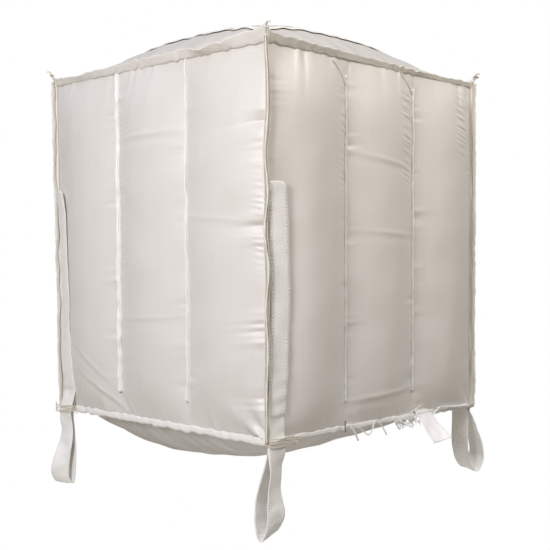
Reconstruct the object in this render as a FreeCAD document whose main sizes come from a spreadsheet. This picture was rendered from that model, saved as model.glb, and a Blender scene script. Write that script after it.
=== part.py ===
import FreeCAD, Part
import math
import os
import Sketcher

# A four-panel bulk bag with internal baffles, blown up and held by its fill spout, base upwards.
# +Z is up, +X and -Y are two of the side panels, and the origin is the centre of the fill spout's
# rim, at the bottom. All sizes are millimetres, except where the name says degrees.

SIZES = {
    # side panels, each sewn to its baffles along two lines, which makes three bays
    "bag_width": 1000,
    "wall_height": 1100,
    "lower_seam": 95,
    "bays": 3,
    "puff": 45,
    "fabric_gauge": 1.5,
    "panel_gap": 3,
    # base panel and top panel
    "dome_height": 160,
    "sag_depth": 140,
    "sag_tilt": 0.22,
    "dimple_depth": 45,
    "dimple_spread": 150,
    # spouts and the cover over the discharge spout
    "spout_radius": 175,
    "spout_length": 60,
    "outlet_radius": 150,
    "outlet_depth": 110,
    "outlet_recess": 16,
    "neck_radius": 20,
    "cover_side": 640,
    "cover_lift": 3,
    # seams and hems
    "ruff_height": 42,
    "ruff_lean_degrees": 20,
    "hem_height": 18,
    "hem_gauge": 3,
    "flange_width": 22,
    "filler_radius": 2.5,
    "rib_width": 6,
    "rib_gauge": 3,
    # baffles, with a row of flow holes
    "baffle_foot": 75,
    "baffle_head": 20,
    "hole_count": 3,
    "hole_radius": 75,
    "hole_pitch": 300,
    # webbing: a leg sewn on the panel, a leg sewn inside it and a loop
    "webbing_width": 65,
    "webbing_gauge": 2.5,
    "leg_inset": 9,
    "outer_leg": 715,
    "inner_leg": 300,
    "loop_pivot_out": 14,
    "loop_pivot_down": 29,
    "loop_drop": 238,
    "loop_radius": 24,
    "loop_neck": 5,
    "loop_start": 4,
    # label tag, swung out from the seam
    "label_width": 80,
    "label_length": 115,
    "label_gauge": 0.8,
    "label_along": 212,
    "label_swing_degrees": 40,
    "label_pivot_out": 12,
    "label_pivot_up": 7,
    "label_start": 2,
}

UP = FreeCAD.Vector(0, 0, 1)
SIDES = ["right", "back", "left", "front"]
CORNERS = ["front_right", "back_right", "back_left", "front_left"]
CLEARANCE = 0.5
DOME_POWER = 3

doc = FreeCAD.newDocument("bulk_bag")
sheet = doc.addObject("Spreadsheet::Sheet", "Sizes")
for row, (alias, number) in enumerate(SIZES.items(), 1):
    sheet.set(f"A{row}", alias)
    sheet.set(f"B{row}", str(number))
    sheet.setAlias(f"B{row}", alias)
doc.recompute()


def size(alias):
    """A driving dimension, read from the sheet."""
    return float(getattr(sheet, alias))


HALF = size("bag_width") / 2
GAUGE = size("fabric_gauge")
LOWER = size("lower_seam")
UPPER = LOWER + size("wall_height")


# Placing and building helpers

def turned(quarter, position, rotation=FreeCAD.Rotation()):
    """The placement of a piece designed on the +X side, carried round Z by quarter turns."""
    carry = FreeCAD.Rotation(UP, 90 * quarter)
    return FreeCAD.Placement(carry.multVec(position), carry.multiply(rotation))


def new_body(name):
    body = doc.addObject("PartDesign::Body", name)
    body.Label = name
    return body


def new_sketch(body, suffix, role):
    sketch = body.newObject("Sketcher::SketchObject", f"{body.Name}_{suffix}")
    plane = next(feature for feature in body.Origin.OriginFeatures if feature.Role == role)
    sketch.AttachmentSupport = [(plane, "")]
    sketch.MapMode = "FlatFace"
    return sketch


def bind(sketch, expression, *constraint):
    """Add a dimension to a sketch, driven by an expression."""
    index = sketch.addConstraint(Sketcher.Constraint(*constraint, 10.0))
    sketch.setExpression(f"Constraints[{index}]", expression)


def pad(body, sketch, expression):
    feature = body.newObject("PartDesign::Pad", f"{body.Name}_pad")
    feature.Profile = sketch
    feature.setExpression("Length", expression)
    return feature


def centred_rectangle(sketch, width, height):
    """A rectangle standing on the horizontal axis, centred on the vertical one."""
    corners = [(-5, 0), (5, 0), (5, 10), (-5, 10)]
    points = [FreeCAD.Vector(x, y, 0) for x, y in corners]
    for start, end in zip(points, points[1:] + points[:1]):
        sketch.addGeometry(Part.LineSegment(start, end), False)
    for line in range(4):
        sketch.addConstraint(Sketcher.Constraint("Coincident", line, 2, (line + 1) % 4, 1))
    sketch.addConstraint(Sketcher.Constraint("Vertical", 1))
    sketch.addConstraint(Sketcher.Constraint("Vertical", 3))
    sketch.addConstraint(Sketcher.Constraint("Horizontal", 2))
    sketch.addConstraint(Sketcher.Constraint("PointOnObject", 0, 1, -1))
    sketch.addConstraint(Sketcher.Constraint("Symmetric", 0, 1, 0, 2, -1, 1))
    bind(sketch, width, "DistanceX", 0, 1, 0, 2)
    bind(sketch, height, "DistanceY", 1, 1, 1, 2)


def plate(name, width, height, gauge, placement):
    """A flat piece: width along its own Y, height up its Z, gauge along its X."""
    body = new_body(name)
    sketch = new_sketch(body, "outline", "YZ_Plane")
    centred_rectangle(sketch, width, height)
    pad(body, sketch, gauge)
    body.Placement = placement
    return body


def curved_piece(name, point, first, second, push, placement, cutter=None):
    """A sheet of fabric through point(a, b) over two lists of stations, as thick as push."""
    surface = Part.BSplineSurface()
    surface.interpolate([[point(a, b) for b in second] for a in first])
    shape = surface.toShape().extrude(push)
    if cutter:
        shape = shape.cut(cutter)
    piece = doc.addObject("Part::Feature", name)
    piece.Label = name
    piece.Shape = shape
    piece.Placement = placement
    return piece


def stations(low, high, count):
    return [low + (high - low) * step / (count - 1) for step in range(count)]


# Side panels, baffles and the seams between them

def bay_depth(along, height):
    """How far a panel stands out of its seam plane, at a place along it and up it."""
    across = (1 - math.cos(2 * math.pi * size("bays") * (along + HALF) / size("bag_width"))) / 2
    upright = 1 - abs(2 * height / size("wall_height") - 1) ** 6
    return size("puff") * across * upright


def on_panel(stand_off):
    """The panel's face as a function of place and height, standing off by a distance."""
    def point(along, height):
        return FreeCAD.Vector(HALF + stand_off + bay_depth(along, height), along, LOWER + height)
    return point


def side_panels():
    reach = HALF - size("panel_gap")
    across = stations(-reach, reach, 37)
    up = stations(0, size("wall_height"), 17)
    push = FreeCAD.Vector(GAUGE, 0, 0)
    for quarter, side in enumerate(SIDES):
        curved_piece(f"{side}_panel", on_panel(0), across, up, push, turned(quarter, FreeCAD.Vector()))


def baffles():
    """Four internal walls across the corners, from one panel's seam to the next panel's."""
    middle = (HALF + HALF / size("bays")) / 2
    foot = LOWER + size("baffle_foot")
    slant = FreeCAD.Rotation(UP, -45)
    for quarter, corner in enumerate(CORNERS):
        place = turned(quarter, FreeCAD.Vector(middle, -middle, foot), slant)
        width = "Sizes.bag_width / Sizes.bays * sqrt(2) - 2 * Sizes.panel_gap"
        height = "Sizes.wall_height - Sizes.baffle_foot - Sizes.baffle_head"
        body = plate(f"baffle_{corner}", width, height, "Sizes.fabric_gauge", place)
        sketch = new_sketch(body, "hole", "YZ_Plane")
        centre = FreeCAD.Vector(0, 100, 0)
        sketch.addGeometry(Part.Circle(centre, UP, 10), False)
        sketch.addConstraint(Sketcher.Constraint("PointOnObject", 0, 3, -2))
        bind(sketch, "Sizes.hole_radius", "Radius", 0)
        first_hole = f"({height} - (Sizes.hole_count - 1) * Sizes.hole_pitch) / 2"
        bind(sketch, first_hole, "DistanceY", -1, 1, 0, 3)
        hole = body.newObject("PartDesign::Pocket", f"{body.Name}_pocket")
        hole.Profile = sketch
        hole.Type = "ThroughAll"
        hole.Reversed = True
        row_of_holes = body.newObject("PartDesign::LinearPattern", f"{body.Name}_holes")
        row_of_holes.Originals = [hole]
        row_of_holes.Direction = (sketch, ["V_Axis"])
        row_of_holes.setExpression("Length", "(Sizes.hole_count - 1) * Sizes.hole_pitch")
        row_of_holes.setExpression("Occurrences", "Sizes.hole_count")
        body.Tip = row_of_holes


def baffle_seams():
    """A raised rib of seam tape on the panel along each baffle's edge."""
    third = HALF / size("bays")
    out = HALF + GAUGE + CLEARANCE
    height = "Sizes.wall_height - Sizes.baffle_foot - Sizes.baffle_head"
    for quarter, side in enumerate(SIDES):
        for word, along in (("first", -third), ("second", third)):
            foot = FreeCAD.Vector(out, along, LOWER + size("baffle_foot"))
            name = f"{word}_baffle_seam_{side}"
            plate(name, "Sizes.rib_width", height, "Sizes.rib_gauge", turned(quarter, foot))


def corner_seams():
    """A folded flange along each corner, and the filler cord in its edge."""
    diagonal = FreeCAD.Vector(1, -1, 0).normalize()
    across = FreeCAD.Vector(1, 1, 0).normalize()
    root = HALF * math.sqrt(2) + CLEARANCE
    middle = diagonal * (root + size("flange_width") / 2) + across * (size("hem_gauge") / 2)
    edge = diagonal * (root + size("flange_width") + size("filler_radius") + CLEARANCE)
    slant = FreeCAD.Rotation(UP, -135)
    lift = UP * LOWER
    for quarter, corner in enumerate(CORNERS):
        place = turned(quarter, middle + lift, slant)
        plate(f"corner_seam_{corner}", "Sizes.flange_width", "Sizes.wall_height", "Sizes.hem_gauge", place)
        body = new_body(f"filler_cord_{corner}")
        sketch = new_sketch(body, "section", "XY_Plane")
        sketch.addGeometry(Part.Circle(FreeCAD.Vector(), UP, 2), False)
        sketch.addConstraint(Sketcher.Constraint("Coincident", 0, 3, -1, 1))
        bind(sketch, "Sizes.filler_radius", "Radius", 0)
        pad(body, sketch, "Sizes.wall_height")
        body.Placement = turned(quarter, edge + lift)


def hems():
    """The standing ruff round the base panel, and the rolled hem round the top panel."""
    sideways = FreeCAD.Vector(0, 1, 0)
    lean = size("ruff_lean_degrees")
    standing = FreeCAD.Rotation(sideways, lean)
    hanging = FreeCAD.Rotation(sideways, 180 - lean)
    ruff_foot = FreeCAD.Vector(HALF + CLEARANCE, 0, UPPER + 3 * CLEARANCE)
    hem_root = FreeCAD.Vector(HALF + size("hem_gauge") + CLEARANCE, 0, LOWER - 2 * CLEARANCE)
    width = "Sizes.bag_width - 2 * Sizes.panel_gap"
    for quarter, side in enumerate(SIDES):
        ruff_place = turned(quarter, ruff_foot, standing)
        plate(f"base_hem_{side}", width, "Sizes.ruff_height", "Sizes.hem_gauge", ruff_place)
        hem_place = turned(quarter, hem_root, hanging)
        plate(f"top_hem_{side}", width, "Sizes.hem_height", "Sizes.hem_gauge", hem_place)


# Base panel, top panel and the openings in them

def crown(x, y):
    """From 0 along the four edges of a blown-up square panel to 1 at its centre."""
    return (1 - abs(x / HALF) ** DOME_POWER) * (1 - abs(y / HALF) ** DOME_POWER)


def dome_point(stand_off):
    def point(x, y):
        return FreeCAD.Vector(x, y, UPPER + stand_off + size("dome_height") * crown(x, y))
    return point


def sag_point(x, y):
    """The top panel hangs lower towards -X and -Y, and is drawn up round the fill spout."""
    tilt = 1 - size("sag_tilt") * (x + y) / (0.8 * HALF)
    dimple = math.exp(-(x * x + y * y) / size("dimple_spread") ** 2)
    drop = size("sag_depth") * tilt * crown(x, y) - size("dimple_depth") * dimple
    return FreeCAD.Vector(x, y, LOWER - drop)


def end_panels():
    reach = HALF - size("panel_gap")
    grid = stations(-reach, reach, 31)
    push = UP * GAUGE
    here = FreeCAD.Placement()
    drill = FreeCAD.Vector(0, 0, -HALF)
    outlet = Part.makeCylinder(size("outlet_radius") + GAUGE + CLEARANCE, 4 * HALF, drill)
    inlet = Part.makeCylinder(size("spout_radius") + GAUGE + CLEARANCE, HALF + LOWER, drill)
    curved_piece("base_panel", dome_point(0), grid, grid, push, here, outlet)
    curved_piece("top_panel", sag_point, grid, grid, push, here, inlet)


def cylinder(name, radius, height):
    tube = doc.addObject("Part::Cylinder", name)
    tube.setExpression("Radius", radius)
    tube.setExpression("Height", height)
    return tube


def cone(name, bottom, top, height):
    funnel = doc.addObject("Part::Cone", name)
    funnel.setExpression("Radius1", bottom)
    funnel.setExpression("Radius2", top)
    funnel.setExpression("Height", height)
    return funnel


def cut(name, base, tool):
    result = doc.addObject("Part::Cut", name)
    result.Label = name
    result.Base = base
    result.Tool = tool
    return result


def spouts():
    """The fill spout turned in to a collar, and the discharge spout pushed in and tied shut."""
    outside = cylinder("collar_outside", "Sizes.spout_radius + Sizes.fabric_gauge", "Sizes.spout_length")
    inside = cylinder("collar_inside", "Sizes.spout_radius", "Sizes.spout_length")
    cut("fill_spout", outside, inside)
    wide = "Sizes.outlet_radius + Sizes.fabric_gauge"
    funnel = cone("funnel_outside", "Sizes.neck_radius", wide, "Sizes.outlet_depth")
    hollow = cone("funnel_inside", "Sizes.neck_radius", wide, "Sizes.outlet_depth")
    hollow.Placement.Base = UP * (4 * GAUGE)
    funnel_spout = cut("discharge_spout", funnel, hollow)
    rim = UPPER + size("dome_height") - size("outlet_recess")
    funnel_spout.Placement.Base = UP * (rim - size("outlet_depth"))


def outlet_cover():
    """A square flap that lies on the dome over the discharge spout."""
    reach = size("cover_side") / 2
    grid = stations(-reach, reach, 19)
    face = dome_point(GAUGE + size("cover_lift"))
    curved_piece("discharge_cover", face, grid, grid, UP * GAUGE, FreeCAD.Placement())


# Webbing and the label

def loop_legs():
    """Each loop's two sewn ends: one on the panel's outer face, one inside the panel."""
    near = -HALF + size("leg_inset")
    far = near + size("webbing_width")
    across = stations(near, far, 6)
    foot = 2
    up = stations(foot, size("outer_leg"), 15)
    push = FreeCAD.Vector(size("webbing_gauge"), 0, 0)
    inner_out = HALF - size("webbing_gauge") - 2 * CLEARANCE
    for quarter, corner in enumerate(CORNERS):
        outside = on_panel(GAUGE + CLEARANCE)
        curved_piece(f"outer_leg_{corner}", outside, across, up, push, turned(quarter, FreeCAD.Vector()))
        place = turned(quarter, FreeCAD.Vector(inner_out, (near + far) / 2, LOWER + foot))
        name = f"inner_leg_{corner}"
        plate(name, "Sizes.webbing_width", "Sizes.inner_leg", "Sizes.webbing_gauge", place)


def lifting_loops():
    """A drop-shaped loop of webbing hangs from a point just outside the hem at each corner."""
    out = HALF + size("loop_pivot_out")
    along = -HALF + size("leg_inset") + size("webbing_width") / 2
    pivot = FreeCAD.Vector(out, along, LOWER - size("loop_pivot_down"))
    for quarter, corner in enumerate(CORNERS):
        body = new_body(f"lifting_loop_{corner}")
        spine = loop_spine(body)
        section = new_sketch(body, "section", "XY_Plane")
        webbing_section(section)
        pipe = body.newObject("PartDesign::AdditivePipe", f"{body.Name}_pipe")
        pipe.Profile = section
        pipe.Spine = spine
        body.Placement = turned(quarter, pivot)


def loop_spine(body):
    """Down from one side of the neck, round the bottom, and up to the other side."""
    sketch = new_sketch(body, "spine", "XZ_Plane")
    neck = size("loop_neck")
    start = size("loop_start")
    radius = size("loop_radius")
    fall = size("loop_drop") - radius
    rise = math.hypot(neck, fall - start)
    lean = math.acos(radius / rise) - math.atan2(neck, fall - start)
    touch_x = radius * math.sin(lean)
    touch_z = -fall + radius * math.cos(lean)
    ends = [FreeCAD.Vector(side * neck, -start, 0) for side in (-1, 1)]
    touches = [FreeCAD.Vector(side * touch_x, touch_z, 0) for side in (-1, 1)]
    bottom = FreeCAD.Vector(0, -fall - radius, 0)
    sketch.addGeometry(Part.LineSegment(ends[0], touches[0]), False)
    sketch.addGeometry(Part.Arc(touches[0], bottom, touches[1]), False)
    sketch.addGeometry(Part.LineSegment(touches[1], ends[1]), False)
    sketch.addConstraint(Sketcher.Constraint("Tangent", 0, 2, 1, 1))
    sketch.addConstraint(Sketcher.Constraint("Tangent", 1, 2, 2, 1))
    sketch.addConstraint(Sketcher.Constraint("PointOnObject", 1, 3, -2))
    sketch.addConstraint(Sketcher.Constraint("Symmetric", 0, 1, 2, 2, -2))
    bind(sketch, "Sizes.loop_radius", "Radius", 1)
    bind(sketch, "Sizes.loop_drop - Sizes.loop_radius", "DistanceY", 1, 3, -1, 1)
    bind(sketch, "Sizes.loop_start", "DistanceY", 0, 1, -1, 1)
    bind(sketch, "Sizes.loop_neck", "DistanceX", 0, 1, -1, 1)
    return sketch


def webbing_section(sketch):
    """The webbing's section where the loop starts, centred on its spine."""
    neck = size("loop_neck")
    thick = size("webbing_gauge") / 2
    wide = size("webbing_width") / 2
    corners = [(-neck - thick, -wide), (-neck + thick, -wide), (-neck + thick, wide), (-neck - thick, wide)]
    points = [FreeCAD.Vector(x, y, -size("loop_start")) for x, y in corners]
    for start, end in zip(points, points[1:] + points[:1]):
        sketch.addGeometry(Part.LineSegment(start, end), False)
    for line in range(4):
        sketch.addConstraint(Sketcher.Constraint("Coincident", line, 2, (line + 1) % 4, 1))
    sketch.addConstraint(Sketcher.Constraint("Horizontal", 0))
    sketch.addConstraint(Sketcher.Constraint("Horizontal", 2))
    sketch.addConstraint(Sketcher.Constraint("Vertical", 1))
    sketch.addConstraint(Sketcher.Constraint("Symmetric", 0, 1, 2, 2, -1))
    bind(sketch, "Sizes.webbing_gauge", "DistanceX", 0, 1, 0, 2)
    bind(sketch, "Sizes.webbing_width", "DistanceY", 1, 1, 1, 2)
    bind(sketch, "Sizes.loop_neck - Sizes.webbing_gauge / 2", "DistanceX", 0, 2, -1, 1)


def label():
    """A tag sewn in above the +X hem, which swings out from it."""
    pivot = FreeCAD.Vector(HALF + size("label_pivot_out"), size("label_along"), LOWER + size("label_pivot_up"))
    swing = FreeCAD.Rotation(FreeCAD.Vector(0, 1, 0), 180 - size("label_swing_degrees"))
    top = pivot + swing.multVec(UP * size("label_start"))
    place = FreeCAD.Placement(top, swing)
    plate("label_tag", "Sizes.label_width", "Sizes.label_length", "Sizes.label_gauge", place)


def build():
    side_panels()
    baffles()
    baffle_seams()
    corner_seams()
    hems()
    end_panels()
    spouts()
    outlet_cover()
    loop_legs()
    lifting_loops()
    label()
    doc.recompute()


def sub_parts():
    """Every finished piece: the bodies, the cuts and the curved sheets."""
    kinds = ("PartDesign::Body", "Part::Cut", "Part::Feature")
    return [item for item in doc.Objects if item.TypeId in kinds]


def write():
    """Stop if any object failed or any piece isn't one sound solid, then write the pieces."""
    for item in doc.Objects:
        if "Invalid" in item.State or "Error" in item.State:
            raise RuntimeError(f"{item.Name} failed: {item.State}")
    pieces = sub_parts()
    for piece in pieces:
        shape = piece.Shape
        if shape.isNull() or not shape.isValid() or len(shape.Solids) != 1:
            raise RuntimeError(f"{piece.Label} isn't one sound solid")
    os.makedirs("parts", exist_ok=True)
    for piece in pieces:
        piece.Shape.exportStep(os.path.join("parts", f"{piece.Label}.step"))
        print(f"{piece.Label}: {piece.Shape.Volume / 1000:.1f} cm3")
    print(len(pieces), "pieces")


build()
write()
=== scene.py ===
import math

import bmesh
import bpy
import numpy as np
from mathutils import Matrix, Vector
from mathutils.bvhtree import BVHTree


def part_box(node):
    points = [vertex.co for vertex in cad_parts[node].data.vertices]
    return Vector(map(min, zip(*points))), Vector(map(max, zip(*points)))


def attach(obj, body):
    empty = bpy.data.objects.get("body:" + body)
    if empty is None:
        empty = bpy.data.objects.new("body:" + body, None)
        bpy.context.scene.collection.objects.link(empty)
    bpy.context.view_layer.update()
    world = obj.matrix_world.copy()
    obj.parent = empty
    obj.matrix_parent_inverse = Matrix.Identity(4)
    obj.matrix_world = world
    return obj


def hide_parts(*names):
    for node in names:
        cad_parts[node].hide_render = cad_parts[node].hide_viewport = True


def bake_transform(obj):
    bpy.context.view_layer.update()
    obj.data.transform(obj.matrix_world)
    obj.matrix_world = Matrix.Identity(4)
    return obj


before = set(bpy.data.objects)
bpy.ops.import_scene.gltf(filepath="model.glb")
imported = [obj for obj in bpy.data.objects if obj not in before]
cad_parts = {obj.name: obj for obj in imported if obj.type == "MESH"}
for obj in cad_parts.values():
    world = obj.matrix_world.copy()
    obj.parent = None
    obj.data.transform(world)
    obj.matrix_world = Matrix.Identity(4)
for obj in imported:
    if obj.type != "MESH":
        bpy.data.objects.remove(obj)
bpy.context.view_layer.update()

# Everything is in metres, in the part's own frame. A piece for the +X side is designed there, in
# (out, along, up) coordinates, and carried round Z by quarter turns to the other sides.

SIDES = ["right", "back", "left", "front"]
CORNERS = ["front_right", "back_right", "back_left", "front_left"]
PANEL_LOW, PANEL_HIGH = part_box("right_panel")
HALF = PANEL_LOW[0]
LOWER = PANEL_LOW[2]
UPPER = PANEL_HIGH[2]
RISE = UPPER - LOWER
BAYS = 3
THIRD = HALF / BAYS
DOME_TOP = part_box("discharge_cover")[1][2]
SPOUT_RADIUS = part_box("fill_spout")[1][0]
OUTLET_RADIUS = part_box("discharge_spout")[1][0]
BAFFLE_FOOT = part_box("baffle_front_right")[0][2]
BAFFLE_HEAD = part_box("baffle_front_right")[1][2]
PIVOT_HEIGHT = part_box("lifting_loop_front_right")[1][2]
WEBBING = 0.065
FABRIC = 0.0008


# Numbers: smooth seeded waves, grids and curves

def smooth_waves(seed, shortest, longest, count=14):
    """A function of place that wanders smoothly between about -1 and 1."""
    rng = np.random.default_rng(seed)
    length = shortest * (longest / shortest) ** rng.random(count)
    phase = rng.random(count) * 2 * math.pi
    size = rng.uniform(0.5, 1, count)
    size /= np.sqrt((size ** 2).sum() / 2)

    def value(place):
        place = np.asarray(place, float)[..., None]
        return (size * np.sin(2 * math.pi * place / length + phase)).sum(-1) / 1.6
    return value


def smooth_field(seed, shortest, longest, count=18):
    """The same over a surface, for two coordinates."""
    rng = np.random.default_rng(seed)
    length = shortest * (longest / shortest) ** rng.random(count)
    turn = rng.random(count) * math.pi
    phase = rng.random(count) * 2 * math.pi

    def value(u, v):
        u = np.asarray(u, float)[..., None]
        v = np.asarray(v, float)[..., None]
        way = u * np.cos(turn) + v * np.sin(turn)
        return np.sin(2 * math.pi * way / length + phase).sum(-1) / math.sqrt(count / 2) / 1.6
    return value


def bump(x, width):
    return np.exp(-(np.asarray(x, float) / width) ** 2)


def stacked(*parts):
    """Numbers and grids of matching shapes, put together as points or as UVs."""
    return np.stack(np.broadcast_arrays(*parts), -1)


def run_length(points):
    """How far along a line each of its points is."""
    return np.concatenate([[0], np.cumsum(np.linalg.norm(np.diff(points, axis=0), axis=1))])


def read_line(places, reach, points):
    """A line's points at some places along it, where reach is how far along each of its own is."""
    return np.stack([np.interp(places, reach, column) for column in np.transpose(points)], -1)


def carry(points, quarter):
    """Points turned about Z by quarter turns."""
    points = np.asarray(points, float)
    x, y = points[..., 0], points[..., 1]
    for _ in range(quarter % 4):
        x, y = -y, x
    return stacked(x, y, points[..., 2])


def refine(grid, more_rows=False):
    """A grid with a new row and column between each two, on smooth curves, and more rows if asked."""
    grid = finer_rows(finer_rows(grid).swapaxes(0, 1)).swapaxes(0, 1)
    return finer_rows(grid) if more_rows else grid


def finer_rows(grid):
    """A grid with a new row between each two, on a smooth curve through the four rows round it."""
    padded = np.concatenate([2 * grid[:1] - grid[1:2], grid, 2 * grid[-1:] - grid[-2:-1]])
    between = (9 * (padded[1:-2] + padded[2:-1]) - padded[:-3] - padded[3:]) / 16
    finer = np.empty((2 * len(grid) - 1,) + grid.shape[1:])
    finer[0::2] = grid
    finer[1::2] = between
    return finer


def sample(points, count):
    """A smooth curve through a few chosen rows of numbers, read at even steps."""
    points = np.asarray(points, float)
    ends = np.concatenate([2 * points[:1] - points[1:2], points, 2 * points[-1:] - points[-2:-1]])
    steps = np.linspace(0, len(points) - 1.000001, count)
    base = steps.astype(int)
    t = (steps - base)[:, None]
    a, b, c, d = (ends[base + k] for k in range(4))
    return b + 0.5 * t * (c - a + t * (2 * a - 5 * b + 4 * c - d + t * (3 * (b - c) + d - a)))


def grid_normals(grid):
    across = np.gradient(grid, axis=1)
    up = np.gradient(grid, axis=0)
    normal = np.cross(across, up)
    return normal / np.maximum(np.linalg.norm(normal, axis=-1, keepdims=True), 1e-12)


# Meshes

def grid_faces(rows, columns, keep=None):
    faces = []
    for row in range(rows - 1):
        for column in range(columns - 1):
            if keep is None or keep[row, column]:
                corner = row * columns + column
                faces.append((corner, corner + 1, corner + columns + 1, corner + columns))
    return faces


def new_piece(name, points, faces, uv=None):
    mesh = bpy.data.meshes.new(name)
    mesh.from_pydata(np.asarray(points, float).reshape(-1, 3).tolist(), [], faces)
    if uv is not None:
        flat = np.asarray(uv, float).reshape(-1, 2)
        corners = np.empty(len(mesh.loops), int)
        mesh.loops.foreach_get("vertex_index", corners)
        layer = mesh.uv_layers.new(name="cloth")
        layer.data.foreach_set("uv", flat[corners].ravel())
    mesh.polygons.foreach_set("use_smooth", [True] * len(mesh.polygons))
    piece = bpy.data.objects.new(name, mesh)
    bpy.context.scene.collection.objects.link(piece)
    return piece


def settle(piece):
    """Apply a piece's modifiers to its mesh."""
    bpy.context.view_layer.update()
    shown = piece.evaluated_get(bpy.context.evaluated_depsgraph_get())
    made = bpy.data.meshes.new_from_object(shown)
    piece.modifiers.clear()
    piece.data = made
    return piece


def thicken(piece, thickness, offset=0.0):
    shell = piece.modifiers.new("thickness", "SOLIDIFY")
    shell.thickness = thickness
    shell.offset = offset
    return settle(piece)


def cloth_piece(name, grid, uv, material, thickness=FABRIC, keep=None, offset=0.0):
    rows, columns = grid.shape[:2]
    piece = new_piece(name, grid, grid_faces(rows, columns, keep), uv)
    drop_loose(piece)
    thicken(piece, thickness, offset)
    piece.data.materials.append(material)
    return piece


def drop_loose(piece):
    """Take away points that no face uses."""
    made = bmesh.new()
    made.from_mesh(piece.data)
    loose = [vertex for vertex in made.verts if not vertex.link_faces]
    bmesh.ops.delete(made, geom=loose, context="VERTS")
    made.to_mesh(piece.data)
    made.free()


def tube(path, radius, sides=8, twist=0.0, strands=1):
    """Points, faces and UVs of a cord along a path, with as many twisted strands as asked."""
    path = np.asarray(path, float)
    tangent = np.gradient(path, axis=0)
    tangent /= np.maximum(np.linalg.norm(tangent, axis=1, keepdims=True), 1e-9)
    side = np.cross(tangent[0], [0.31, 0.17, 0.94])
    if np.linalg.norm(side) < 0.1:
        side = np.cross(tangent[0], [1.0, 0, 0])
    frames = []
    for way in tangent:
        side = side - way * side.dot(way)
        side /= np.linalg.norm(side)
        frames.append((side, np.cross(way, side)))
    steps = run_length(path)
    points, faces, uvs = [], [], []
    strand_radius = radius if strands == 1 else radius * 0.56
    for strand in range(strands):
        start = len(points)
        for place, (first, second), reach in zip(path, frames, steps):
            turn = twist * reach + 2 * math.pi * strand / strands
            off = 0 if strands == 1 else radius * 0.46
            centre = place + off * (math.cos(turn) * first + math.sin(turn) * second)
            for corner in range(sides):
                angle = 2 * math.pi * corner / sides
                spoke = math.cos(angle) * first + math.sin(angle) * second
                points.append(centre + strand_radius * spoke)
                uvs.append((corner / sides * radius * 6, reach))
        for ring in range(len(path) - 1):
            for corner in range(sides):
                a = start + ring * sides + corner
                b = start + ring * sides + (corner + 1) % sides
                faces.append((a, b, b + sides, a + sides))
        last = start + (len(path) - 1) * sides
        faces.append(tuple(start + corner for corner in reversed(range(sides))))
        faces.append(tuple(last + corner for corner in range(sides)))
    return points, faces, uvs


def joined(name, parts, material):
    """One piece from several (points, faces, uvs)."""
    points, faces, uvs = [], [], []
    for part_points, part_faces, part_uvs in parts:
        start = len(points)
        points.extend(part_points)
        uvs.extend(part_uvs)
        faces.extend(tuple(start + index for index in face) for face in part_faces)
    piece = new_piece(name, points, faces, uvs)
    piece.data.materials.append(material)
    return piece


def turned(name, parts, material, quarter):
    """One piece from several that were made on the +X side, turned to its own side."""
    piece = joined(name, parts, material)
    piece.data.transform(Matrix.Rotation(quarter * math.pi / 2, 4, "Z"))
    return piece


# Cloth simulation

def inflate(grid, rest, pinned, pressure, frames=26):
    """Blow a grid of cloth outwards from where it is, with the flat sizes that rest gives it."""
    rows, columns = grid.shape[:2]
    cloth = new_piece("cloth_at_work", grid, grid_faces(rows, columns))
    cloth.shape_key_add(name="Basis")
    cut_size = cloth.shape_key_add(name="Cut")
    cut_size.data.foreach_set("co", np.ascontiguousarray(rest.reshape(-1)))
    cut_size.value = 0
    group = cloth.vertex_groups.new(name="held")
    group.add([int(index) for index in np.nonzero(pinned.ravel())[0]], 1, "REPLACE")
    modifier = cloth.modifiers.new("cloth", "CLOTH")
    settings = modifier.settings
    settings.quality = 6
    settings.mass = 0.15
    settings.tension_stiffness = 30
    settings.compression_stiffness = 14
    settings.shear_stiffness = 8
    settings.bending_stiffness = 0.05
    settings.air_damping = 2
    settings.vertex_group_mass = "held"
    settings.pin_stiffness = 1
    settings.rest_shape_key = cut_size
    settings.use_pressure = True
    settings.uniform_pressure_force = pressure
    settings.effector_weights.gravity = 0
    modifier.collision_settings.use_collision = False
    modifier.point_cache.frame_end = frames
    for frame_number in range(1, frames + 1):
        bpy.context.scene.frame_set(frame_number)
    shown = cloth.evaluated_get(bpy.context.evaluated_depsgraph_get())
    done = np.empty(rows * columns * 3)
    shown.data.vertices.foreach_get("co", done)
    bpy.data.objects.remove(cloth, do_unlink=True)
    bpy.context.scene.frame_set(1)
    return done.reshape(rows, columns, 3)


# Materials

class Nodes:
    """A short way to write a node tree."""

    def __init__(self, tree):
        self.tree = tree

    def add(self, kind, inputs=None, **settings):
        node = self.tree.nodes.new(kind)
        for key, value in settings.items():
            setattr(node, key, value)
        for key, value in (inputs or {}).items():
            self.plug(value, node.inputs[key])
        return node

    def plug(self, value, socket):
        if isinstance(value, bpy.types.NodeSocket):
            self.tree.links.new(value, socket)
        else:
            socket.default_value = value

    def math(self, operation, first, second=0.0, third=0.0):
        node = self.add("ShaderNodeMath", operation=operation)
        for socket, value in zip(node.inputs, (first, second, third)):
            self.plug(value, socket)
        return node.outputs[0]

    def noise(self, coordinates, scale, detail=4.0):
        node = self.add("ShaderNodeTexNoise", {"Vector": coordinates, "Scale": scale, "Detail": detail})
        return node.outputs["Fac"]

    def ramp(self, value, low, high):
        """Map 0..1 to a colour between two."""
        node = self.add("ShaderNodeMix", data_type="RGBA")
        self.plug(value, node.inputs[0])
        node.inputs[6].default_value = (*low, 1)
        node.inputs[7].default_value = (*high, 1)
        return node.outputs[2]

    def mixed(self, first, share, second):
        """A share of the first value, and the rest of the second."""
        rest = self.math("MULTIPLY", second, 1 - share)
        return self.math("ADD", self.math("MULTIPLY", first, share), rest)


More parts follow.
